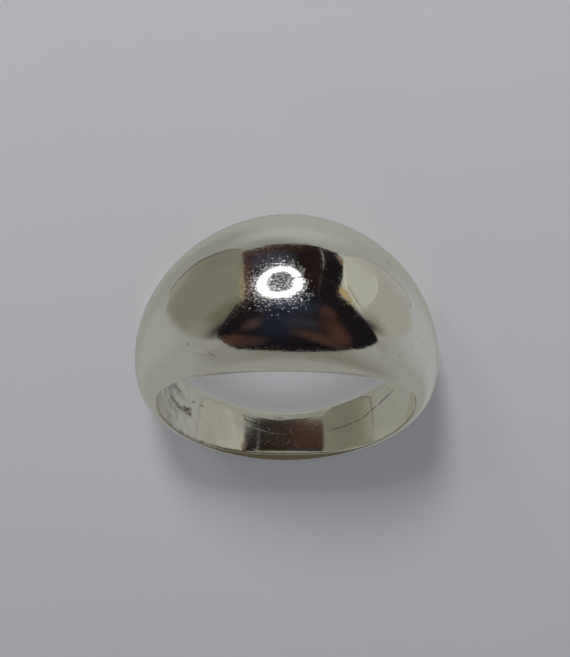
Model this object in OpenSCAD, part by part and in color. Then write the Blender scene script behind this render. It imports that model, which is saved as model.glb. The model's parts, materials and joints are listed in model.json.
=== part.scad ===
// Dome ring: a plain cast silver band that swells into a high smooth dome.
// It lies on one side, as it comes to rest by itself on a table. The finger
// goes through it close to Z, and the dome points to -Y. Millimetres.

/* [Bore] */
// Inside diameter, which is the ring's size
bore_d = 18; // [14:0.1:23]

/* [Dome] */
// Width of the band along the finger, at the top of the dome
dome_w = 11.6; // [9:0.1:16]
// Height of the dome's top above the bore
dome_h = 5.2; // [3:0.1:8]
// Thickness of metal at the dome's thin edges, where the dome meets the bore
dome_edge = 0.25; // [0.2:0.05:0.6]

/* [Shank] */
// Width of the band along the finger, at the palm side
shank_w = 3.6; // [2.6:0.1:6]
// Thickness of the band at the palm side, in the middle of its width
shank_t = 1.2; // [1.1:0.05:2.4]
// Thickness of the shank's flat side faces at the palm side
shank_edge = 0.95; // [0.6:0.05:1.05]

/* [Finish] */
// Width of the broken corner between the bore and the side faces
corner_break = 0.15; // [0.05:0.05:0.3]

/* [Hidden] */

// Cross-sections round the finger, from the top of the dome to the palm side,
// at even steps. The columns are shares: 1 takes the dome's size, 0 the shank's.
WIDTH = 0;
HEIGHT = 1;
EDGE = 2;
sections = [
    // width, height, edge
    [1.00, 1.19, 1.00],
    [0.89, 0.60, 1.00],
    [0.57, 0.25, 1.00],
    [0.23, 0.09, 1.00],
    [0.16, 0.00, 1.18],
    [0.10, 0.00, 1.00],
    [-0.02, 0.00, -0.50]
];
section_step = 180 / (len(sections) - 1);

// Cross-sections that the surface is drawn through, all the way round
stations = 96;
// Facets across the outside of one cross-section
outside_steps = 22;
// Metal that the boring takes out
bore_stock = 0.4;
bore_r = bore_d / 2;
// Length of the cutter that opens the bore, past both sides of the ring
cutter_len = 2 * dome_w;

// The share in one column, blended smoothly through the rows beside angle a.
// The ring's two halves are alike, so the rows run back again past each end.
function row_at(i) =
    let (last = len(sections) - 1, k = abs(i))
    k > last ? 2 * last - k : k;
function blend(a, column) =
    let (
        i = floor(a / section_step),
        u = a / section_step - i,
        p = [for (k = [-1:2]) sections[row_at(i + k)][column]]
    )
    (p[0] * pow(1 - u, 3)
        + p[1] * (3 * pow(u, 3) - 6 * u * u + 4)
        + p[2] * (-3 * pow(u, 3) + 3 * u * u + 3 * u + 1)
        + p[3] * pow(u, 3)) / 6;
// The same share, set so that it is exactly 1 at the dome's top and 0 at the palm
function share(a, column) =
    let (top = blend(0, column), palm = blend(180, column))
    (blend(a, column) - palm) / (top - palm);

// The angle from the dome's top, for the two halves alike
function fold(a) = a > 180 ? 360 - a : a;
function mix(palm, top, s) = palm + (top - palm) * s;
function width(a) = mix(shank_w, dome_w, share(fold(a), WIDTH));
function height(a) = mix(shank_t, dome_h, share(fold(a), HEIGHT));
function edge(a) = mix(shank_edge, dome_edge, share(fold(a), EDGE));
function corner(a) = min(corner_break, edge(a) / 2);

// One cross-section, as [radius, place along the finger]: a half ellipse on
// two side faces, with broken corners, and stock inside for the boring
function section(a) =
    let (
        w = width(a) / 2,
        e = edge(a),
        rise = height(a) - e,
        c = corner(a)
    )
    concat(
        [for (k = [0:outside_steps])
            let (q = 180 * k / outside_steps - 90)
            [bore_r + e + rise * cos(q), w * sin(q)]],
        [
            [bore_r + c, w],
            [bore_r - bore_stock, w - c - bore_stock],
            [bore_r - bore_stock, -w + c + bore_stock],
            [bore_r + c, -w]
        ]
    );

// The outside's points, with the finger along Z and the dome towards -Y
function station(a) = [for (p = section(a)) [-p[0] * sin(a), -p[0] * cos(a), p[1]]];
points = [for (i = [0:stations - 1]) each station(360 * i / stations)];
section_n = outside_steps + 5;
function point_at(i, k) = (i % stations) * section_n + k % section_n;
faces = [for (i = [0:stations - 1], k = [0:section_n - 1])
    each [
        [point_at(i, k), point_at(i + 1, k + 1), point_at(i, k + 1)],
        [point_at(i, k), point_at(i + 1, k), point_at(i + 1, k + 1)]
    ]];

// How far the ring leans when it rests on the dome's lower edge and the
// shank's lower edge: the flattest plane under both
rest_y = -(bore_r + corner(0));
rest_z = -width(0) / 2;
palm_from = 120;
rest_tilt = min([for (a = [palm_from:360 / stations:180])
    let (r = bore_r + edge(a))
    atan2(-width(a) / 2 - rest_z, -r * cos(a) - rest_y)]);

// The same points as they rest, and the move that puts them on the origin
function lean(p) = [
    p[0],
    p[1] * cos(rest_tilt) + p[2] * sin(rest_tilt),
    -p[1] * sin(rest_tilt) + p[2] * cos(rest_tilt)
];
// The bore takes the stock away, so only the metal that stays is measured
resting = [for (p = points) if (norm([p[0], p[1]]) > bore_r) lean(p)];
rest_low = min([for (p = resting) p[2]]);
rest_mid = (min([for (p = resting) p[1]]) + max([for (p = resting) p[1]])) / 2;
place = [0, -rest_mid, -rest_low];

// The whole ring: dome, shoulders and shank in one casting, with a true bore
module dome_ring() {
    color([0.78, 0.77, 0.73])
    translate(place)
    rotate([-rest_tilt, 0, 0])
    difference() {
        polyhedron(points = points, faces = faces, convexity = 6);
        cylinder(h = cutter_len, r = bore_r, center = true, $fn = 128);
    }
}

dome_ring();
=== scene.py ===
# A domed silver ring lying on one side on a pale table. Metres, in the packed
# part's frame: the finger goes through close to Z and the dome points to -Y.
import json
import math

import bmesh
import bpy
import numpy as np
from mathutils import Matrix, Vector


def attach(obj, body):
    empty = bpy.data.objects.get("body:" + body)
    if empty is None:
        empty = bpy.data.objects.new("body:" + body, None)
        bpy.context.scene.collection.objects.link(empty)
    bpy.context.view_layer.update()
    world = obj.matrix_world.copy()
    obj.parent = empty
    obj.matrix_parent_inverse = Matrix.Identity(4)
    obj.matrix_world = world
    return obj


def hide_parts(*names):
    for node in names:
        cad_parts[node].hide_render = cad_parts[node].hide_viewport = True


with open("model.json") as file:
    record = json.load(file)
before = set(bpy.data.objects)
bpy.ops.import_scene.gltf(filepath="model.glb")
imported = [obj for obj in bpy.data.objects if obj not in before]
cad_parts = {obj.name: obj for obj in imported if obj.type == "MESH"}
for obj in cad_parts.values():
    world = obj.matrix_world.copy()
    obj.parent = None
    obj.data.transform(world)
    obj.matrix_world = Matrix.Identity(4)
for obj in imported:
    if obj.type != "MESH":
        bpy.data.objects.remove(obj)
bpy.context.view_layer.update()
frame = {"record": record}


# The casting: shank, shoulders and dome
# One piece of sterling silver, cast in a mould and filed to its sweep. A narrow
# flat shank swells without a seam into broad shoulders and a high dome, and the
# bore is reamed round, with its sharp edges rolled over.
MM = 0.001
bore = next(m for m in frame["record"]["mounts"] if m["name"] == "finger_bore")
bore_r = bore["dims"]["r_mm"] * MM
dome_w = 11.6 * MM
dome_h = 5.2 * MM
dome_edge = 0.25 * MM
shank_w = 3.6 * MM
shank_t = 1.2 * MM
shank_edge = 0.95 * MM
edge_roll = 0.15 * MM

# Polishing takes a little off the outside. It eases the bore towards both mouths,
# and opens it very slightly towards the side that the camera sees.
polished_off = 0.010 * MM
ease_width = 0.6 * MM
ease_depth = 0.018 * MM
flare_slope = 0.0087
most_flare = 0.032 * MM

# Shares of the dome's size that each cross-section has, from the dome's top to
# the palm side at even steps
sections = np.array([
    # width, height, edge
    [1.00, 1.19, 1.00],
    [0.89, 0.60, 1.00],
    [0.57, 0.25, 1.00],
    [0.23, 0.09, 1.00],
    [0.16, 0.00, 1.18],
    [0.10, 0.00, 1.00],
    [-0.02, 0.00, -0.50],
])
WIDTH, HEIGHT, EDGE = range(3)

# How the ring lies: X across the finger, Y along it, Z up through the dome
axis = Vector(bore["axis"]).normalized()
ring_axes = (Vector((-1, 0, 0)), -axis, axis.cross(Vector((-1, 0, 0))))
lying = Matrix.Translation(bore["pos_m"]) @ Matrix(ring_axes).transposed().to_4x4()


def share(angle, column):
    """The share at an angle from the dome's top, as a smooth spline through the rows."""
    last = len(sections) - 1

    def blend(a):
        place = a / 180 * last
        i = np.floor(place).astype(int)
        u = place - i
        rows = [last - np.abs(last - np.abs(i + k)) for k in (-1, 0, 1, 2)]
        p = [sections[r, column] for r in rows]
        near = 3 * u**3 - 6 * u**2 + 4
        far = -3 * u**3 + 3 * u**2 + 3 * u + 1
        return (p[0] * (1 - u)**3 + p[1] * near + p[2] * far + p[3] * u**3) / 6

    top, palm = blend(np.array([0.0])), blend(np.array([180.0]))
    return (blend(180 - np.abs(180 - angle % 360)) - palm) / (top - palm)


def width(a):
    return shank_w + (dome_w - shank_w) * share(a, WIDTH) - 2 * polished_off


def height(a):
    return shank_t + (dome_h - shank_t) * share(a, HEIGHT) - polished_off


def edge(a):
    return shank_edge + (dome_edge - shank_edge) * share(a, EDGE)


def steps(n):
    return np.linspace(0, 1, n, endpoint=False)[None, :]


# The grid of points: stations round the finger, and a loop across each one that
# runs over the outside, down one side, through the bore and up the other side.
# The angle a is in degrees from the dome's top, and w, h and e are the half width,
# the height and the edge at it.
stations = 500
outside_points = 112
side_points = 3
roll_points = 6
bore_points = 48

angles = np.arange(stations) * 360 / stations
a = angles[:, None]
w, h, e = width(a) / 2, height(a), edge(a)
roll = np.minimum(edge_roll, e / 2)
sweep = np.radians(180 * steps(outside_points) - 90)
turn = np.radians(90 * steps(roll_points))
out_r, out_y = bore_r + e + (h - e) * np.cos(sweep), w * np.sin(sweep)
side_r = bore_r + e + (roll - e) * steps(side_points)
side_y = w + 0 * side_r
back_rise, front_rise = roll - ease_depth, roll - ease_depth - most_flare
roll_r, roll_y = bore_r + roll - back_rise * np.sin(turn), w - roll * (1 - np.cos(turn))
bore_y = (w - roll) * (1 - 2 * steps(bore_points))
eased = np.clip((np.abs(bore_y) - (w - roll) + ease_width) / ease_width, 0, 1)
flared = np.minimum(flare_slope * (w - bore_y), most_flare)
bore_line = bore_r + ease_depth * eased**2 + flared
up_r, up_y = bore_r + roll - front_rise * np.cos(turn), -w + roll * (1 - np.sin(turn))
rise_r = bore_r + roll + (e - roll) * steps(side_points)
radius = np.concatenate([out_r, side_r, roll_r, bore_line, up_r, rise_r], 1)
along = np.concatenate([out_y, side_y, roll_y, bore_y, up_y, -w + 0 * rise_r], 1)
loop = radius.shape[1]
bore_from = outside_points + side_points + roll_points
bore_to = bore_from + bore_points
is_bore = (np.arange(loop) >= bore_from) & (np.arange(loop) <= bore_to)
is_outside = np.arange(loop) <= outside_points

# Hand filing and buffing leave the outside very slightly uneven
waves = 14
shortest_wave_mm = 3.5
longest_wave_mm = 8.0
wave_height_mm = 0.0006
mean_r_mm = 11
draw = np.random.default_rng(11)
across_mm = along / MM
uneven = np.zeros_like(radius)
for _ in range(waves):
    wave_mm = draw.uniform(shortest_wave_mm, longest_wave_mm)
    heading = draw.uniform(0, math.pi)
    turns = round(2 * math.pi * mean_r_mm * math.cos(heading) / wave_mm)
    lean = 2 * math.pi * math.sin(heading) / wave_mm
    uneven += np.sin(np.radians(a) * turns + across_mm * lean + draw.uniform(0, 2 * math.pi))
smooth_at_sides = np.cos(np.pi / 2 * along / w)
radius = radius + np.where(is_outside, uneven * wave_height_mm * MM * smooth_at_sides, 0)

theta = np.radians(a)
grid = np.stack([radius * np.sin(theta), along, radius * np.cos(theta)], -1)
band = bpy.data.meshes.new("dome_ring_casting")
corner = np.arange(stations)[:, None] * loop + np.arange(loop)[None, :]
after = np.roll(corner, -1, 0)
quads = np.stack([corner, after, np.roll(after, -1, 1), np.roll(corner, -1, 1)], -1)
points = np.array(lying.to_3x3()) @ grid.reshape(-1, 3).T + np.array(lying.translation)[:, None]
band.from_pydata(points.T.tolist(), [], quads.reshape(-1, 4).tolist())
band.polygons.foreach_set("use_smooth", [True] * len(band.polygons))
in_bore = (is_bore & np.roll(is_bore, -1))[None, :]
band.polygons.foreach_set("material_index", np.repeat(in_bore, stations, 0).reshape(-1).astype(int))

# A flat map of the surface in millimetres, round the finger and across the band
step_r = np.diff(radius, axis=1, append=radius[:, :1])
step_y = np.diff(along, axis=1, append=along[:, :1])
v_mm = np.concatenate([0 * a, np.cumsum(np.hypot(step_r, step_y), 1)], 1) / MM
u_mm = np.radians(np.append(angles, 360))[:, None] * np.append(radius, radius[:1], 0) / MM
u_mm = np.concatenate([u_mm, u_mm[:, :1]], 1)
v_mm = np.concatenate([v_mm, v_mm[:1]], 0)
i, k = np.meshgrid(np.arange(stations), np.arange(loop), indexing="ij")
corners = [(i, k), (i + 1, k), (i + 1, k + 1), (i, k + 1)]
flat = np.stack([np.stack([u_mm[c], v_mm[c]], -1) for c in corners], 2)
surface_map = band.uv_layers.new(name="surface_mm")
surface_map.data.foreach_set("uv", flat.reshape(-1))

# A second map for marks that sit at known places: millimetres round from the dome's
# top, as measured on the bore or on the dome, and millimetres along the finger
dome_r_mm = 12.0
far_a = (a + 180) % 360 - 180
round_bore = np.radians(np.append(angles, 360))[:, None] * bore_r / MM + 0 * v_mm
round_dome = np.radians(far_a[:, 0])
step_mm = 2 * math.pi / stations * dome_r_mm
y_mm = np.concatenate([across_mm, across_mm[:, :1]], 1)
y_mm = np.concatenate([y_mm, y_mm[:1]], 0)
on_dome = [round_dome[i] * dome_r_mm + (0 if c[0] is i else step_mm) for c in corners]
on_bore = [round_bore[c] for c in corners]
placed = np.stack([np.stack([np.where(in_bore, inner, outer), y_mm[c]], -1)
                   for inner, outer, c in zip(on_bore, on_dome, corners)], 2)
marks_map = band.uv_layers.new(name="marks_mm")
marks_map.data.foreach_set("uv", placed.reshape(-1))

ring = bpy.data.objects.new("dome_ring_casting", band)
bpy.context.collection.objects.link(ring)


# The finish of the silver
# Buffed to a mirror and then worn: pale warm grey silver, crossed by hairline
# scratches and dotted with tiny knocks. Tarnish stays in the bore, and grime in
# the corners that a cloth doesn't reach. A thin line of painted shade darkens the
# dome's front edge where it meets the bore.
VECTOR, VALUE, COLOUR = "NodeSocketVector", "NodeSocketFloat", "NodeSocketColor"


def linear(r, g, b):
    """A colour as seen on a screen, as the light that makes it."""
    shares = [c / 255 for c in (r, g, b)]
    return tuple(((s + 0.055) / 1.055)**2.4 if s > 0.04045 else s / 12.92 for s in shares) + (1,)


def new_group(name, inputs, outputs):
    """A new node group, with what it is given and what it gives back."""
    tree = bpy.data.node_groups.new(name, "ShaderNodeTree")
    for label, kind, value in inputs:
        socket = tree.interface.new_socket(label, in_out="INPUT", socket_type=kind)
        if value is not None:
            socket.default_value = value
    for label, kind in outputs:
        tree.interface.new_socket(label, in_out="OUTPUT", socket_type=kind)
    return tree, tree.nodes.new("NodeGroupInput").outputs, tree.nodes.new("NodeGroupOutput").inputs


def add(tree, kind, settings=None, **links):
    """Adds a node, sets its properties, and feeds its inputs with values or other nodes' outputs."""
    node = tree.nodes.new("ShaderNode" + kind)
    for key, value in (settings or {}).items():
        setattr(node, key, value)
    for key, value in links.items():
        numbered = key.startswith("in") and key[2:].isdigit()
        socket = node.inputs[int(key[2:]) if numbered else key.replace("_", " ")]
        if isinstance(value, bpy.types.NodeSocket):
            tree.links.new(value, socket)
        else:
            socket.default_value = value
    return node


def math_node(tree, operation, *values):
    """The result of a sum on values."""
    node = add(tree, "Math", {"operation": operation}, **{f"in{n}": v for n, v in enumerate(values)})
    return node.outputs[0]


def vector_node(tree, operation, first, second=None):
    """The result of a sum on vectors, which is a value for a length or a dot product."""
    links = {"in0": first}
    if second is not None:
        links["Scale" if operation == "SCALE" else "in1"] = second
    node = add(tree, "VectorMath", {"operation": operation}, **links)
    return node.outputs["Value" if operation in ("LENGTH", "DOT_PRODUCT") else "Vector"]


def ramp(tree, value, low, high):
    """0 below low and 1 above high, with a smooth change between."""
    settings = {"interpolation_type": "SMOOTHSTEP"}
    return add(tree, "MapRange", settings, Value=value, From_Min=low, From_Max=high).outputs["Result"]


def mix_colours(tree, amount, under, over):
    """One colour laid over another by an amount."""
    return add(tree, "Mix", {"data_type": "RGBA"}, Factor=amount, in6=under, in7=over).outputs[2]


# Wear marks: flecks where the surface leans a little its own way, and few lean far.
# Round flecks are tiny knocks, and flecks drawn out along a heading are scratches.
marks, given, result = new_group("wear_marks", [
    ("Map", VECTOR, None),
    ("Heading", VALUE, 0.0),
    ("Along per mm", VALUE, 12.0),
    ("Across per mm", VALUE, 12.0),
    ("Wander", VALUE, 0.0),
    ("Seed", VALUE, 0.0),
    ("Lean", VALUE, 0.3),
    ("Rarity", VALUE, 5.0),
    ("Ways", VECTOR, (1, 1, 1))], [("Tilt", VECTOR)])
shift = add(marks, "CombineXYZ", X=given["Seed"], Y=math_node(marks, "MULTIPLY", given["Seed"], 0.7))
moved = vector_node(marks, "ADD", given["Map"], shift.outputs[0])
turned = add(marks, "VectorRotate", {"rotation_type": "Z_AXIS"}, Vector=moved, Angle=given["Heading"])
rates = add(marks, "CombineXYZ", X=given["Along per mm"], Y=given["Across per mm"])
stretched = vector_node(marks, "MULTIPLY", turned.outputs[0], rates.outputs[0])
bends = add(marks, "TexNoise", Vector=moved, Scale=0.3, Detail=1.0)
wander = vector_node(marks, "SCALE", bends.outputs["Color"], given["Wander"])
path = vector_node(marks, "ADD", stretched, wander)
cells = add(marks, "TexVoronoi", {"voronoi_dimensions": "2D"}, Vector=path, Scale=1.0)
chance = add(marks, "SeparateColor", Color=cells.outputs["Color"])
# The last digits of the first chance serve as a fourth one
fourth = math_node(marks, "FRACT", math_node(marks, "MULTIPLY", chance.outputs[0], 37.3))
spin = add(marks, "CombineXYZ", X=chance.outputs[1], Y=chance.outputs[2], Z=fourth)
leaning = vector_node(marks, "NORMALIZE", vector_node(marks, "SUBTRACT", spin.outputs[0], (0.5, 0.5, 0.5)))
steep = math_node(marks, "POWER", chance.outputs[0], given["Rarity"])
steep = math_node(marks, "MULTIPLY", steep, given["Lean"])
tilt = vector_node(marks, "SCALE", vector_node(marks, "MULTIPLY", leaning, given["Ways"]), steep)
marks.links.new(tilt, result["Tilt"])

# A mark drawn from one place to another, bowed sideways in its middle
drawn, given, result = new_group("drawn_mark", [
    ("Map", VECTOR, None),
    ("Start", VECTOR, (0, 0, 0)),
    ("End", VECTOR, (1, 0, 0)),
    ("Bow", VALUE, 0.0),
    ("Width", VALUE, 0.1)], [("Mask", VALUE)])
shake_mm = 0.12
shake = add(drawn, "TexNoise", Vector=given["Map"], Scale=4.0, Detail=3.0)
shaken = vector_node(drawn, "SCALE", shake.outputs["Color"], shake_mm)
from_start = vector_node(drawn, "SUBTRACT", given["Map"], given["Start"])
from_start = vector_node(drawn, "ADD", from_start, shaken)
from_start = vector_node(drawn, "SUBTRACT", from_start, (shake_mm / 2, shake_mm / 2, shake_mm / 2))
whole = vector_node(drawn, "SUBTRACT", given["End"], given["Start"])
onward = vector_node(drawn, "NORMALIZE", whole)
sideways = vector_node(drawn, "CROSS_PRODUCT", (0, 0, 1), onward)
gone = vector_node(drawn, "DOT_PRODUCT", from_start, onward)
off = vector_node(drawn, "DOT_PRODUCT", from_start, sideways)
share_gone = math_node(drawn, "DIVIDE", gone, vector_node(drawn, "LENGTH", whole))
share_left = math_node(drawn, "SUBTRACT", 1.0, share_gone)
# Gone times left is a quarter in the mark's middle, so four of it is the whole bow
bowed = math_node(drawn, "MULTIPLY", math_node(drawn, "MULTIPLY", share_gone, share_left), given["Bow"])
off = math_node(drawn, "ABSOLUTE", math_node(drawn, "MULTIPLY_ADD", bowed, -4.0, off))
beside = math_node(drawn, "DIVIDE", off, given["Width"])
ends = ramp(drawn, math_node(drawn, "MINIMUM", share_gone, share_left), 0.0, 0.12)
uneven_depth = ramp(drawn, shake.outputs["Fac"], 0.25, 0.6)
core = math_node(drawn, "SUBTRACT", 1.0, ramp(drawn, beside, 0.2, 1.0))
mask = math_node(drawn, "MULTIPLY", math_node(drawn, "MULTIPLY", core, ends), uneven_depth)
drawn.links.new(mask, result["Mask"])

# The very shallow ripple that a buffing wheel leaves
ripple, given, result = new_group("buffed_ripple", [("Map", VECTOR, None)], [("Height", VALUE)])
peel = add(ripple, "TexNoise", Vector=given["Map"], Scale=0.7, Detail=2.0)
ripple.links.new(peel.outputs["Fac"], result["Height"])

# Tarnish in soft patches, which darkens the silver and dulls its polish
tarnish, given, result = new_group("tarnish", [
    ("Map", VECTOR, None),
    ("Amount", VALUE, 0.0),
    ("Clean", COLOUR, None),
    ("Tarnished", COLOUR, None),
    ("Polish", VALUE, 0.05)], [("Color", COLOUR), ("Roughness", VALUE)])
smudge = add(tarnish, "TexNoise", Vector=given["Map"], Scale=1.3, Detail=4.0, Roughness=0.6)
patchy = math_node(tarnish, "MULTIPLY", given["Amount"], ramp(tarnish, smudge.outputs["Fac"], 0.35, 0.65))
tarnish.links.new(mix_colours(tarnish, patchy, given["Clean"], given["Tarnished"]), result["Color"])
dulled = math_node(tarnish, "MULTIPLY_ADD", given["Amount"], 0.1, given["Polish"])
tarnish.links.new(dulled, result["Roughness"])

# Brown grime, and a thin line of painted shade at the dome's front edge, over
# whatever tone is under it
grime_and_shade_tone, given, result = new_group("grime_and_shade_tone", [
    ("Under", COLOUR, None),
    ("Amount", VALUE, 0.0)], [("Color", COLOUR)])
covered = mix_colours(grime_and_shade_tone, given["Amount"], given["Under"], linear(96, 88, 74))
grime_and_shade_tone.links.new(covered, result["Color"])

# The silver's own colour, and the ways in which marks may lean the surface
SILVER = linear(245, 244, 234)
ANY_WAY = (1, 1, 1)
ALONG_FINGER = tuple(1.6 * abs(c) for c in axis)
ripple_depth = 0.0015 * MM
seeds_apart = 31.7


def silver(name, base, polish, wear, tarnish_tint, lines, map_r):
    """Sterling silver with its own polish, sets of wear marks, tarnish, and marks at known places.

    The places of those are in degrees from the dome's top, on the radius map_r, and in millimetres along.
    """
    material = bpy.data.materials.new(name)
    material.use_nodes = True
    tree = material.node_tree
    shader = tree.nodes["Principled BSDF"]
    shader.inputs["Metallic"].default_value = 1.0

    def painted(layer_name):
        return add(tree, "Attribute", {"attribute_name": layer_name}).outputs["Fac"]

    place = add(tree, "UVMap", {"uv_map": "surface_mm"}).outputs[0]
    buffed = add(tree, "Group", {"node_tree": ripple}, Map=place).outputs["Height"]
    normal = add(tree, "Bump", Strength=1.0, Distance=ripple_depth, Height=buffed).outputs[0]
    for seed, (where, turned_by, along_rate, across_rate, bend, most_lean, rarity, ways) in enumerate(wear):
        worn = add(tree, "Group", {"node_tree": marks}, Map=place, Heading=math.radians(turned_by),
                   Along_per_mm=along_rate, Across_per_mm=across_rate,
                   Wander=bend, Seed=seeds_apart * (seed + 1), Rarity=rarity, Ways=ways,
                   Lean=math_node(tree, "MULTIPLY", painted(where), most_lean))
        normal = vector_node(tree, "ADD", normal, worn.outputs["Tilt"])
    tree.links.new(vector_node(tree, "NORMALIZE", normal), shader.inputs["Normal"])

    tarnished = add(tree, "Group", {"node_tree": tarnish}, Map=place, Amount=painted("tarnished"),
                    Clean=base, Tarnished=linear(*tarnish_tint), Polish=polish)
    tree.links.new(tarnished.outputs["Roughness"], shader.inputs["Roughness"])
    tone = tarnished.outputs["Color"]
    spot = add(tree, "UVMap", {"uv_map": "marks_mm"}).outputs[0]
    for (from_a, from_y), (to_a, to_y), bow, wide, tint in lines:
        mark = add(tree, "Group", {"node_tree": drawn}, Map=spot, Bow=bow, Width=wide,
                   Start=(math.radians(from_a) * map_r, from_y, 0), End=(math.radians(to_a) * map_r, to_y, 0))
        tone = mix_colours(tree, mark.outputs["Mask"], tone, linear(*tint))
    # Grime, and painted shade along the dome's front edge, darken the tone
    grime_and_edge_shade = add(tree, "Group", {"node_tree": grime_and_shade_tone}, Under=tone, Amount=painted("grime_and_edge_shade"))
    tree.links.new(grime_and_edge_shade.outputs["Color"], shader.inputs["Base Color"])
    return material


def worn_spots(least, spots):
    """Where the wear is, as soft spots over a least amount, each with a gain.

    A spot's place and reach are in degrees from the dome's top and millimetres along the finger.
    """
    amount = 0 * along + least
    for spot_a, spot_y, reach_a, reach_y, gain in spots:
        amount += gain * np.exp(-((far_a - spot_a) / reach_a)**2 - ((across_mm - spot_y) / reach_y)**2)
    return amount


# Grime keeps to the shank's front corner on one side of the palm, in uneven dabs
grime_from, grime_to, grime_fade = 192, 256, 4
grime_at = 1 / (1 + np.exp((grime_from - a) / grime_fade)) / (1 + np.exp((a - grime_to) / grime_fade))
front_edge = np.exp(-((along + w - 0.10 * MM) / (0.09 * MM))**2) * (radius < bore_r + 0.2 * MM)
dab_waves = ((31, 0.4), (47, 2.0), (78, 1.1), (113, 4.2))
dabs = np.clip(0.5 + 0.12 * sum(np.sin(np.radians(a) * often + start) for often, start in dab_waves), 0, 1)
# A thin dark line of painted shade where the dome's front edge meets the bore
dome_edge_shade = 0.4 * np.exp(-(far_a / 26)**4) * (along + w < 0.06 * MM) * (radius < bore_r + 0.16 * MM)

tarnished_bore = is_bore * worn_spots(0, [(-112, 0, 14, 3.0, 0.9)])
for name, amounts in {
    "everywhere": np.ones_like(radius),
    # Grime at the shank's corner, and the painted shade line at the dome's edge
    "grime_and_edge_shade": front_edge * grime_at * dabs + dome_edge_shade,
    "knocked": worn_spots(0.04, [
        (-9, -2.5, 14, 2.3, 0.62),
        (-4, 0.0, 11, 1.8, 0.18),
        (8, -3.8, 13, 1.8, 0.35)]),
    "scuffed": worn_spots(0.06, [
        (-6, -0.3, 10, 0.8, 0.6),
        (6, -3.5, 7, 1.0, 0.6)]),
    "tarnished": tarnished_bore + worn_spots(0.10, [
        (-177, -0.6, 22, 3.0, 0.15),
        (-30, -4.5, 6, 0.7, 0.4),
        (33, -4.3, 6, 0.6, 0.3),
        (8, -5.4, 8, 0.3, 0.2)]),
}.items():
    layer = band.attributes.new(name, "FLOAT", "POINT")
    layer.data.foreach_set("value", amounts.astype(np.float32).reshape(-1))

band.materials.append(silver("polished_silver", SILVER, 0.045, [
    # where, heading, along per mm, across per mm, wander, lean, rarity, ways
    ("knocked", 0, 26.0, 26.0, 0.0, 0.38, 10.0, ANY_WAY),
    ("knocked", 0, 32.0, 32.0, 0.0, 0.24, 6.0, ANY_WAY),
    ("knocked", 0, 40.0, 40.0, 0.0, 0.50, 11.0, ANY_WAY),
    ("scuffed", 3, 0.6, 60.0, 2.0, 0.16, 8.0, ALONG_FINGER),
    ("scuffed", -7, 0.9, 70.0, 3.0, 0.16, 9.0, ALONG_FINGER),
    ("scuffed", 62, 1.6, 60.0, 3.0, 0.16, 16.0, ANY_WAY)], (212, 202, 180), [
    # from and to in degrees and mm along the finger, bow, half width, tint
    ((4, -5.2), (12, -5.15), 0.05, 0.05, (200, 186, 165)),
    ((-29.8, -4.58), (-26.4, -5.00), 0.0, 0.07, (196, 186, 168)),
    ((-36.8, -3.76), (-35.4, -3.84), 0.0, 0.08, (204, 196, 178)),
    ((46.6, -2.85), (47.6, -2.65), 0.0, 0.08, (204, 197, 180)),
    ((52.6, -2.00), (53.4, -1.88), 0.0, 0.08, (196, 188, 170)),
    ((41.6, -3.95), (42.6, -3.80), 0.0, 0.08, (200, 193, 178)),
    ((66.2, -2.60), (67.6, -2.45), 0.0, 0.07, (204, 196, 178)),
    ((30.0, 4.15), (31.4, 4.35), 0.0, 0.09, (150, 144, 130)),
    ((31.4, 1.95), (32.6, 2.06), 0.0, 0.08, (150, 144, 130))], dome_r_mm))

# The bore keeps a few old scratches, and a worn smear with two pits in one shoulder
band.materials.append(silver("worn_bore_silver", linear(241, 238, 222), 0.07, [
    ("everywhere", 0, 0.3, 40.0, 1.0, 0.0015, 1.5, ALONG_FINGER),
    ("everywhere", 0, 20.0, 20.0, 0.0, 0.12, 60.0, ANY_WAY),
    ("everywhere", 4, 0.4, 16.0, 2.0, 0.03, 24.0, ALONG_FINGER)], (180, 181, 179), [
    ((160, -0.12), (138, 0.16), 0.05, 0.09, (172, 168, 156)),
    ((141, 0.10), (117, 1.05), -0.12, 0.10, (128, 123, 112)),
    ((245.5, 1.12), (237, 1.02), 0.05, 0.10, (120, 112, 98)),
    ((247.5, -0.10), (239.5, -0.32), 0.0, 0.30, (146, 142, 128)),
    ((241.0, -0.28), (233.5, -0.22), 0.1, 0.32, (138, 134, 120)),
    ((235.5, -0.14), (228.5, -0.02), 0.0, 0.34, (118, 114, 100)),
    ((234.5, -0.40), (228.8, -0.32), 0.0, 0.30, (134, 130, 116)),
    ((228.8, 0.80), (226.8, 0.86), 0.0, 0.16, (90, 86, 78)),
    ((223.5, 0.84), (221.5, 0.86), 0.0, 0.14, (168, 163, 149)),
    ((199.5, 1.3), (198.8, 0.7), 0.0, 0.10, (190, 180, 158))], bore_r / MM))

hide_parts("dome_ring")
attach(ring, "root")


# The table
# A wide sheet of matt pale card, seamless and slightly mottled. Far from the ring
# it glows, painted light that brings it up to the tone of the room. The silver
# mirrors the tent instead of it.
table_reach = 2.0
far_from, far_to = 0.09, 0.8
table_mesh = bpy.data.meshes.new("table")
table_corners = [(x * table_reach, y * table_reach, 0) for x, y in ((-1, -1), (1, -1), (1, 1), (-1, 1))]
table_mesh.from_pydata(table_corners, [], [(0, 1, 2, 3)])
table = bpy.data.objects.new("table", table_mesh)
bpy.context.collection.objects.link(table)
card_stock = bpy.data.materials.new("pale_card")
card_stock.use_nodes = True
paper_tree = card_stock.node_tree
paper = paper_tree.nodes["Principled BSDF"]
paper.inputs["Roughness"].default_value = 0.9
paper.inputs["Specular IOR Level"].default_value = 0.2
on_sheet = add(paper_tree, "TexCoord").outputs["Object"]
mottle = add(paper_tree, "TexNoise", Vector=on_sheet, Scale=60.0, Detail=4.0).outputs["Fac"]
paper_tone = mix_colours(paper_tree, mottle, linear(226, 227, 232), linear(230, 231, 235))
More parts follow.
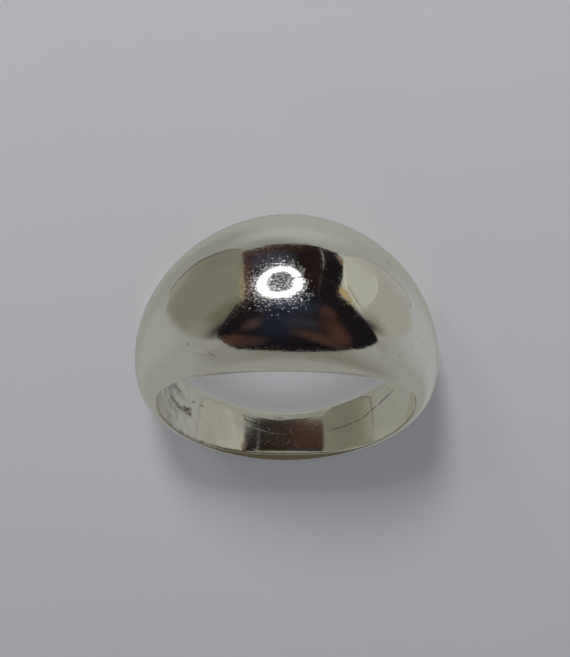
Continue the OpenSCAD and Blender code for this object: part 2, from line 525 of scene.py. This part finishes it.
paper_tree.links.new(paper_tone, paper.inputs["Base Color"])
# Painted light: the card glows more the farther it is from the ring
paper.inputs["Emission Color"].default_value = linear(149, 149, 153)
far_painted_glow = ramp(paper_tree, vector_node(paper_tree, "LENGTH", on_sheet), far_from, far_to)
paper_tree.links.new(far_painted_glow, paper.inputs["Emission Strength"])
table_mesh.materials.append(card_stock)
table.visible_glossy = False


# The light tent that the silver mirrors
# A pale cloth tent stands close round the ring, with card walls hung inside it and
# a dark opening over the dome for the camera. Only reflections see any of it.
TENT_R = 43 * MM
tent_middle = np.array((0, 8, 0)) * MM
over_shank = math.radians(58.29)
aside = math.radians(-1.93)
camera_reach = 140 * MM
sight = Vector((math.sin(aside) * math.cos(over_shank),
                -math.cos(aside) * math.cos(over_shank),
                math.sin(over_shank)))

# The outside's points and the directions they face, in the ring's own axes
least_facing = -0.2
shown = (slice(None, None, 2), slice(4, outside_points - 3, 2))
outside = grid[shown].reshape(-1, 3)
round_step = np.roll(grid, -1, 0) - np.roll(grid, 1, 0)
faces_out = np.cross(np.gradient(grid, axis=1), round_step)[shown].reshape(-1, 3)
faces_out /= np.linalg.norm(faces_out, axis=-1, keepdims=True)
faces_out *= np.sign((faces_out * outside).sum(-1))[:, None]
faces_up = faces_out @ np.array(sight) > least_facing
outside, faces_out = outside[faces_up], faces_out[faces_up]


def mirror_point(ray):
    """The point of the outside that shows the camera what lies in this direction."""
    point = np.zeros(3)
    for _ in range(2):
        seen = np.array(sight) * camera_reach - point
        point = outside[np.argmax(faces_out @ (ray + seen / np.linalg.norm(seen)))]
    return point


def hang(right, back, layer):
    """A place that the dome mirrors so many degrees right and back of overhead.

    The layer is its distance from the tent's middle, as a share of the tent's radius.
    """
    distance = layer * TENT_R
    tilt = math.radians(math.hypot(right, back))
    heading = math.atan2(right, back)
    ray = np.array((math.sin(tilt) * math.sin(heading), math.sin(tilt) * math.cos(heading), math.cos(tilt)))
    point = mirror_point(ray) - tent_middle
    ahead = ray @ point
    return Vector(tent_middle + point + ray * (math.sqrt(ahead**2 + distance**2 - point @ point) - ahead))


def mirrored_angles(place):
    """How many degrees right and back of overhead the dome mirrors a place."""
    ray = np.array(place) / np.linalg.norm(place)
    for _ in range(4):
        ray = np.array(place) - mirror_point(ray)
        ray /= np.linalg.norm(ray)
    tilt = math.degrees(math.acos(min(1, max(-1, ray[2]))))
    heading = math.atan2(ray[0], ray[1])
    return tilt * math.sin(heading), tilt * math.cos(heading)


# A round or oval spot with a soft edge, in mirrored angles or in places
soft_spot, given, result = new_group("soft_spot", [
    ("Place", VECTOR, None),
    ("Centre", VECTOR, (0, 0, 0)),
    ("Reach", VECTOR, (10, 10, 1)),
    ("Heading", VALUE, 0.0),
    ("Softness", VALUE, 0.5)], [("Mask", VALUE)])
from_centre = vector_node(soft_spot, "SUBTRACT", given["Place"], given["Centre"])
turned = add(soft_spot, "VectorRotate", {"rotation_type": "Z_AXIS"},
             Vector=from_centre, Angle=given["Heading"])
reaches_out = vector_node(soft_spot, "DIVIDE", turned.outputs[0], given["Reach"])
far_out = vector_node(soft_spot, "LENGTH", reaches_out)
fade = add(soft_spot, "MapRange", {"interpolation_type": "SMOOTHSTEP"}, Value=far_out,
           From_Min=math_node(soft_spot, "SUBTRACT", 1.0, given["Softness"]),
           From_Max=math_node(soft_spot, "ADD", 1.0, given["Softness"]), To_Min=1.0, To_Max=0.0)
soft_spot.links.new(fade.outputs["Result"], result["Mask"])


def mirrored(tint):
    """The light that is seen as this tint once it comes back off the silver."""
    brightest = 2.0
    return tuple(min(brightest, t / s) for t, s in zip(linear(*tint)[:3], SILVER)) + (1,)


def glow(name, base, spots=(), strength=1.0, near=(), kept=None):
    """A glowing card of one colour, with soft spots of others by mirrored angle and near places in the tent.

    Outside the spot named by kept, the card fades away.
    """
    near_softness = 0.6
    material = bpy.data.materials.new(name)
    material.use_nodes = True
    tree = material.node_tree
    tree.nodes.remove(tree.nodes["Principled BSDF"])
    by_angle = add(tree, "UVMap", {"uv_map": "mirrored_angles"}).outputs[0]
    by_place = add(tree, "TexCoord").outputs["Object"]

    def spot(place, centre, spread, turned_by, softness):
        node = add(tree, "Group", {"node_tree": soft_spot}, Place=place, Centre=centre, Reach=spread,
                   Heading=math.radians(turned_by), Softness=softness)
        return node.outputs["Mask"]

    colour = mirrored(base)
    for tint, centre, spread, turned_by, softness in spots:
        mask = spot(by_angle, (*centre, 0), (*spread, 1), turned_by, softness)
        colour = mix_colours(tree, mask, colour, mirrored(tint))
    for tint, centre, spread in near:
        mask = spot(by_place, Vector(centre) * MM, Vector(spread) * MM, 0, near_softness)
        colour = mix_colours(tree, mask, colour, mirrored(tint))
    lit = add(tree, "Emission", Color=colour, Strength=strength)
    if kept:
        centre, spread, softness = kept
        mask = spot(by_angle, (*centre, 0), (*spread, 1), 0, softness)
        clear = add(tree, "BsdfTransparent")
        lit = add(tree, "MixShader", Fac=mask, in1=clear.outputs[0], in2=lit.outputs[0])
    tree.links.new(lit.outputs[0], tree.nodes["Material Output"].inputs["Surface"])
    material.cycles.emission_sampling = "NONE"
    return material


def mirrored_only(thing):
    """Hangs a piece of the tent where the ring's own axes say, seen in reflections alone."""
    bpy.context.collection.objects.link(thing)
    thing.matrix_world = lying
    for hidden_from in ("camera", "diffuse", "transmission", "volume_scatter", "shadow"):
        setattr(thing, f"visible_{hidden_from}", False)


def map_angles(mesh, angles_of):
    """Keeps each corner's mirrored angles as the piece's flat map."""
    layer = mesh.uv_layers.new(name="mirrored_angles")
    for corner_of in mesh.loops:
        layer.data[corner_of.index].uv = angles_of[corner_of.vertex_index]


def card(name, outline, layer, material, cuts=5):
    """A card whose outline is given by the angles right and back of overhead at which the dome mirrors it."""
    work = bmesh.new()
    work.faces.new([work.verts.new((right, back, 0)) for right, back in outline])
    bmesh.ops.triangulate(work, faces=work.faces[:])
    bmesh.ops.subdivide_edges(work, edges=work.edges[:], cuts=cuts, use_grid_fill=True)
    mesh = bpy.data.meshes.new(name)
    work.to_mesh(mesh)
    work.free()
    map_angles(mesh, [(v.co.x, v.co.y) for v in mesh.vertices])
    for v in mesh.vertices:
        v.co = hang(v.co.x, v.co.y, layer)
    mesh.materials.append(material)
    mirrored_only(bpy.data.objects.new(name, mesh))


def strip(name, edge_places, material):
    """A strip of card between two lines, whose places are given in turn."""
    mesh = bpy.data.meshes.new(name)
    strip_faces = [(n, n + 1, n + 3, n + 2) for n in range(0, len(edge_places) - 2, 2)]
    mesh.from_pydata(edge_places, [], strip_faces)
    mesh.materials.append(material)
    mirrored_only(bpy.data.objects.new(name, mesh))


def ribbon(name, path, wide, layer, material):
    """A strip of card along a path, so many degrees wide in the middle and narrower at its ends."""
    narrowing = 0.6
    path = [Vector((*p, 0)) for p in path]
    edge_places = []
    for n, p in enumerate(path):
        ahead = (path[min(n + 1, len(path) - 1)] - path[max(n - 1, 0)]).normalized()
        across = Vector((-ahead.y, ahead.x, 0)) * wide / 2
        across *= 1 - narrowing * abs(2 * n / (len(path) - 1) - 1)
        edge_places += [hang(q.x, q.y, layer) for q in (p - across, p + across)]
    strip(name, edge_places, material)


tent_mesh = bpy.data.meshes.new("tent")
work = bmesh.new()
bmesh.ops.create_uvsphere(
    work, u_segments=72, v_segments=36, radius=TENT_R, matrix=Matrix.Translation(tent_middle))
work.to_mesh(tent_mesh)
work.free()
map_angles(tent_mesh, [mirrored_angles(v.co) for v in tent_mesh.vertices])
tent_mesh.materials.append(glow("tent_cloth_and_table_shade", (143, 143, 134), [
    # colour, centre, reach, heading, softness
    ((158, 158, 154), (112, 55), (34, 60), 0, 0.6),
    ((152, 152, 142), (-112, 40), (20, 50), 0, 0.6),
    # Painted shade: the shaded table in front of and below the ring, as the silver mirrors it
    ((119, 116, 105), (22, -102), (78, 30), 0, 0.6),
    ((129, 128, 118), (-58, -80), (26, 16), 40, 0.6),
    ((142, 141, 131), (10, -132), (110, 17), 0, 0.7),
    ((153, 154, 144), (5, 92), (60, 34), 0, 0.7),
    ((137, 137, 129), (-58, 82), (26, 18), 0, 0.7),
    ((164, 165, 153), (5, 70), (34, 11), 0, 0.7),
    ((134, 135, 126), (-25, 56), (26, 5), 0, 0.7)],
    # Painted shade: the table and its shadow under the ring, as the shank's sides mirror them
    near=[((104, 99, 86), (0, -20, -33), (14, 8, 7)), ((78, 72, 58), (1, -17, -35), (8, 8, 7))]))
mirrored_only(bpy.data.objects.new("tent", tent_mesh))


# The tent's card walls
# Two curved cloth-covered cards hang in front of the tent's cloth, with a fold along
# their far edges, drawn as darker strips of painted shade. The left one is in shade.
# The right one catches more light and has a seam. A card or ribbon with a smaller
# layer hangs in front of the others.
left_wall = [
    (-38, 50), (-42, 54), (-48, 61), (-53, 64), (-62, 69), (-68, 73), (-75, 73), (-81, 71), (-86, 68),
    (-90, 60), (-95, 54), (-100, 45), (-104, 30), (-105, 14), (-103, -2), (-99, -15), (-93, -27),
    (-86, -40), (-78, -50), (-68, -52), (-60, -44), (-50, -12), (-38, -12)]
card("left_wall", left_wall, 0.98, glow("shaded_cloth", (117, 115, 100), [
    ((112, 110, 97), (-60, 52), (14, 12), 0, 0.7),
    ((100, 96, 80), (-62, -16), (18, 12), 0, 0.7),
    ((126, 124, 111), (-90, -14), (10, 14), -40, 0.8),
    ((52, 49, 46), (-67, -33), (9, 8), 0, 0.9)],
    near=[((138, 137, 124), (-38, 27, -9), (12, 9, 11))], kept=((-36, 28), (61, 90), 0.05)))
# The left fold is a dark strip of painted shade
ribbon("left_wall_fold", left_wall[1:9], 2.4, 0.975, glow("left_fold_shade", (84, 82, 70)))
right_wall = [
    (44, 50), (51, 50), (56, 56), (62, 62), (67.5, 66), (72, 69), (80, 70), (87, 68), (91, 64), (94, 56),
    (97, 47), (103, 38), (105, 26), (104, 10), (101, -5), (97, -17), (92, -28), (86, -38), (70, -30),
    (44, -5)]
card("right_wall", right_wall, 0.98, glow("lit_cloth", (149, 147, 135), [
    ((164, 164, 151), (60, 30), (16.5, 36), 0, 0.08),
    ((154, 152, 141), (66, 58), (10, 10), 0, 0.8),
    ((128, 125, 110), (80, -8), (9, 9), 0, 0.8),
    ((60, 57, 54), (76, -17), (9, 6), -30, 0.9)],
    near=[((156, 155, 148), (38, 27, -8), (12, 9, 11))], kept=((44, 30), (59, 80), 0.05)))
# The right fold is a darker strip of painted shade
ribbon("right_wall_fold", right_wall[3:10], 1.2, 0.975, glow("right_fold", (122, 121, 110)))
right_seam = [(72, 50), (75.5, 42), (77, 33), (76, 20), (73, 7), (69, -3)]
ribbon("right_wall_seam", right_seam, 0.9, 0.975, glow("right_seam", (178, 177, 162)))


# The tent's opening
# The opening over the dome is a dark card with warm brown and cold blue gleams and a
# few fine lines in it. The tent's cloth, turned back at both its sides, shows as
# narrow strips of warm and pale cloth.
opening = [
    (-39, 51), (-41.5, 49), (-42.5, 44), (-44, 20), (-45, -10), (-52, -13), (-58, -19), (-64, -28),
    (-69, -36), (-68, -45), (-63, -57), (-56, -70), (-47, -82), (-31, -92), (-15, -98), (5, -101),
    (26, -97), (44, -87), (58, -74), (72, -59), (80, -44), (85, -31), (84, -24), (75, -15), (64, -7),
    (50, -1), (49, 5), (51, 20), (50.5, 35), (47.5, 45), (43, 50), (20, 49.5), (0, 50), (-25, 50)]
card("opening", opening, 0.96, glow("dark_opening", (22, 19, 21), [
    ((44, 34, 28), (0, 46), (50, 9), 0, 0.4),
    ((62, 41, 33), (-30, 47), (22, 6), 0, 0.6),
    ((32, 28, 29), (38, 46), (12, 8), 0, 0.5),
    ((56, 54, 61), (-20, 30), (24, 9), 0, 0.5),
    ((31, 22, 20), (22, 20), (13, 28), 0, 0.3),
    ((62, 38, 34), (-41, 12), (6, 24), 0, 0.5),
    ((36, 40, 50), (3, -27), (27, 14), 0, 0.5),
    ((64, 67, 77), (-8, -24), (15, 8), 0, 0.7),
    ((27, 31, 42), (-10, -52), (18, 22), 0, 0.6),
    ((40, 40, 44), (12, -50), (20, 8), 0, 0.6),
    ((72, 48, 39), (39, -29), (7, 7), 0, 0.4),
    ((50, 33, 27), (42, -47), (11, 18), 0, 0.5),
    ((66, 44, 35), (50, -56), (9, 14), 0, 0.6),
    ((64, 46, 38), (28, -70), (22, 7), 12, 0.7),
    ((66, 43, 34), (-52, -62), (18, 7), 40, 0.5),
    ((54, 40, 36), (-36, -74), (14, 7), 20, 0.6),
    ((66, 52, 50), (-36, -46), (8, 7), 0, 0.7)]))
top_edge = [(-6, 49.5), (10, 49.8), (30, 49.8), (44, 49)]
ribbon("opening_top_edge", top_edge, 2.0, 0.957, glow("top_edge", (10, 9, 11)))
pale_line = [(28, 50), (30.5, 45), (32.5, 38), (33.5, 29), (33, 22)]
ribbon("opening_line", pale_line, 1.1, 0.955, glow("pale_line", (150, 140, 134)))
faint_line = [(33, 20), (31, 8), (30, -4), (31, -18)]
ribbon("opening_faint_line", faint_line, 0.9, 0.955, glow("faint_line", (66, 60, 60)))
rail = [(6, 12), (16, 13), (30, 11), (48, 10)]
ribbon("opening_rail", rail, 0.9, 0.954, glow("faint_rail", (62, 55, 53)))
corner_card = [(41, 47), (46, 48), (49, 45), (50, 38), (48, 36), (46, 41)]
card("opening_corner", corner_card, 0.955, glow("warm_corner", (98, 80, 68), [
    ((120, 104, 90), (47, 45), (3, 3), 0, 0.5)]))
left_edge = [(-43.5, 33), (-46, 30), (-48.5, 12), (-49, -2), (-46.5, -11), (-44, -11)]
card("warm_left_edge", left_edge, 0.95, glow("warm_cloth", (141, 129, 98)))
right_edge = [(48.5, 1), (50, 10), (56, 6.5), (66, -7), (62, -5)]
card("warm_right_edge", right_edge, 0.95, glow("warm_cloth_right", (158, 136, 94)))
pale_fold = [(50.5, 40), (52, 27), (53.5, 18), (56, 11.5), (62, 3), (69, -6)]
ribbon("pale_right_fold", pale_fold, 2.2, 0.945, glow("pale_fold", (186, 183, 160)))
shaded_fold = [(56, 16), (58.5, 10), (63, 4), (70, -4)]
ribbon("shaded_right_fold", shaded_fold, 3.0, 0.95, glow("shaded_fold", (122, 118, 102)))


# The ring lamp
# A round tube lamp in front of the opening, with a gap at its right end where its
# two ends meet. Its middle is a disc that is less dark than the opening.
lamp_layer = 0.92
lamp_from, lamp_round, lamp_steps = 24, 350, 72
# Right, back, reach right and reach back, in mirrored degrees
lamp_inside = (-9.6, 0.6, 14.8, 13.0)
lamp_outside = (-9.5, 0.2, 23.4, 19.0)
middle_edge = (-9.6, 0.6, 15.0, 13.2)


def on_oval(oval, degrees):
    right, back, reach_right, reach_back = oval
    t = math.radians(degrees)
    return right + reach_right * math.cos(t), back + reach_back * math.sin(t)


lamp_places = [hang(*on_oval(oval, lamp_from + lamp_round * n / lamp_steps), lamp_layer)
               for n in range(lamp_steps + 1) for oval in (lamp_inside, lamp_outside)]
strip("ring_lamp", lamp_places, glow("ring_lamp", (255, 255, 255), strength=2.2))
middle = [on_oval(middle_edge, t) for t in range(0, 360, 12)]
card("lamp_middle", middle, 0.94, glow("lamp_middle", (58, 62, 67)), cuts=1)


# Light on the table
# Two low soft lamps on the dome's side throw the long soft shadow past the shank. A
# broad one behind the camera and the plain pale room fill it.
room_strength = 0.4
world = bpy.data.worlds.new("pale_room")
bpy.context.scene.world = world
world.use_nodes = True
room = world.node_tree.nodes["Background"]
room.inputs["Color"].default_value = linear(176, 176, 180)
# The camera itself sees the room at full strength
seen = add(world.node_tree, "LightPath").outputs["Is Camera Ray"]
strength = math_node(world.node_tree, "MULTIPLY_ADD", seen, 1 - room_strength, room_strength)
world.node_tree.links.new(strength, room.inputs["Strength"])


def soft_lamp(name, over_table, round_to_x, away, size, power):
    """A round soft lamp aimed at the ring: degrees over the table, and from the dome's side towards +X."""
    light = bpy.data.lights.new(name, "AREA")
    light.shape = "DISK"
    light.size = size
    light.energy = power
    lamp = bpy.data.objects.new(name, light)
    bpy.context.collection.objects.link(lamp)
    up_by, side_by = math.radians(over_table), math.radians(round_to_x)
    level_part = math.cos(up_by)
    towards = Vector((level_part * math.sin(side_by), -level_part * math.cos(side_by), math.sin(up_by)))
    lamp.location = towards * away
    lamp.rotation_mode = "QUATERNION"
    lamp.rotation_quaternion = (-lamp.location).to_track_quat("-Z", "Y")
    lamp.visible_glossy = False
    lamp.visible_camera = False


# name, degrees over the table and round to +X, metres away and across, watts
soft_lamp("low_lamp", 21.5, 7, 0.42, 0.07, 1.05)
soft_lamp("side_lamp", 21, 24, 0.42, 0.08, 0.24)
soft_lamp("camera_lamp", 43, 0, 0.80, 0.16, 0.60)
# The polished bore throws some light down on the table inside the ring
soft_lamp("bore_light", 90, 0, 0.008, 0.012, 0.00045)


# The camera
# It looks down on the dome from 140 mm away, upside down, so that the dome is at
# the top of the picture and the shank at the bottom.
camera_roll = math.radians(2.20)
pixels_per_radian = 1978.6
picture = (570, 657)
centre_px = (286.3, 369.3)
sensor_mm = 36.0

level = (-sight).cross(Vector((0, 0, 1))).normalized()
upward = level.cross(-sight)
right = level * math.cos(camera_roll) + upward * math.sin(camera_roll)
up = upward * math.cos(camera_roll) - level * math.sin(camera_roll)
turn_right = math.atan((picture[0] / 2 - centre_px[0]) / pixels_per_radian)
turn_up = math.atan((centre_px[1] - picture[1] / 2) / pixels_per_radian)
look = Matrix((right, up, sight)).transposed()
look = look @ Matrix.Rotation(-turn_right, 3, "Y") @ Matrix.Rotation(turn_up, 3, "X")
camera = bpy.data.objects.new("camera", bpy.data.cameras.new("camera"))
bpy.context.collection.objects.link(camera)
camera.data.sensor_width = sensor_mm
camera.data.lens = sensor_mm * pixels_per_radian / max(picture)
camera.data.clip_start = 0.005
camera.data.clip_end = 10.0
camera.matrix_world = lying @ Matrix.Translation(sight * camera_reach) @ look.to_4x4()
bpy.context.scene.camera = camera
bpy.context.scene.view_settings.view_transform = "Standard"
